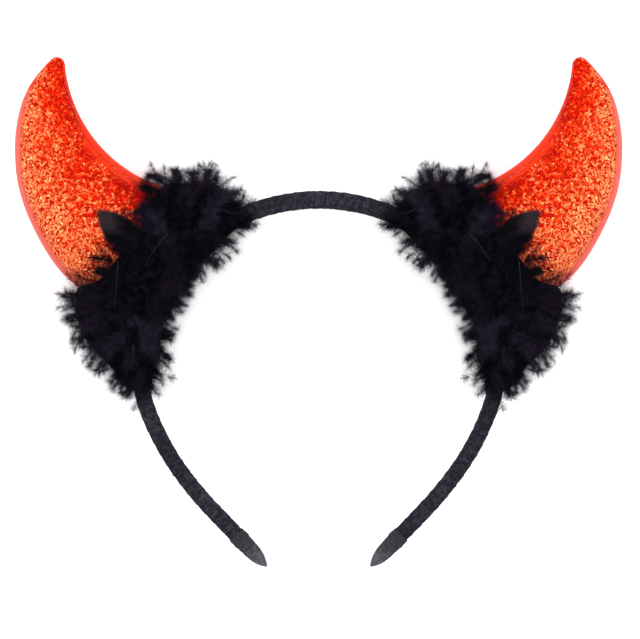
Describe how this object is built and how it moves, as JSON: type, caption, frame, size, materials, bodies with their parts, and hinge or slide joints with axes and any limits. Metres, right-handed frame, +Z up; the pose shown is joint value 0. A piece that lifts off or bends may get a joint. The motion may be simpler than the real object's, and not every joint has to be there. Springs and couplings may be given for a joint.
{
  "type": "devil horns headband",
  "caption": "Costume headband: a fabric-wrapped hoop with a padded glitter horn on each side, its foot wrapped in a fluffy feather collar.",
  "frame": {"origin": "on the surface that the headband lies on, under the middle of its bounding box", "axes": "+X from the left horn to the right one as seen from the front, +Y from the open ends of the hoop to its crown, +Z up, out of the front of the headband"},
  "size_m": [0.2308, 0.1938, 0.0366],
  "materials": {
    "wrapped_fabric": "ribbed wound ribbon, matt",
    "glitter_fabric": "glitter on padded cloth, sparkling",
    "satin_edge": "satin, soft shine",
    "marabou": "downy feather, matt"
  },
  "bodies": {
    "root": {"headband": "wrapped_fabric", "end_cap_right": "wrapped_fabric", "end_cap_left": "wrapped_fabric", "horn_right": "glitter_fabric", "horn_left": "glitter_fabric", "horn_edge_right": "satin_edge", "horn_edge_left": "satin_edge", "feather_collar_right": "marabou", "feather_collar_left": "marabou"}
  },
  "joints": []
}
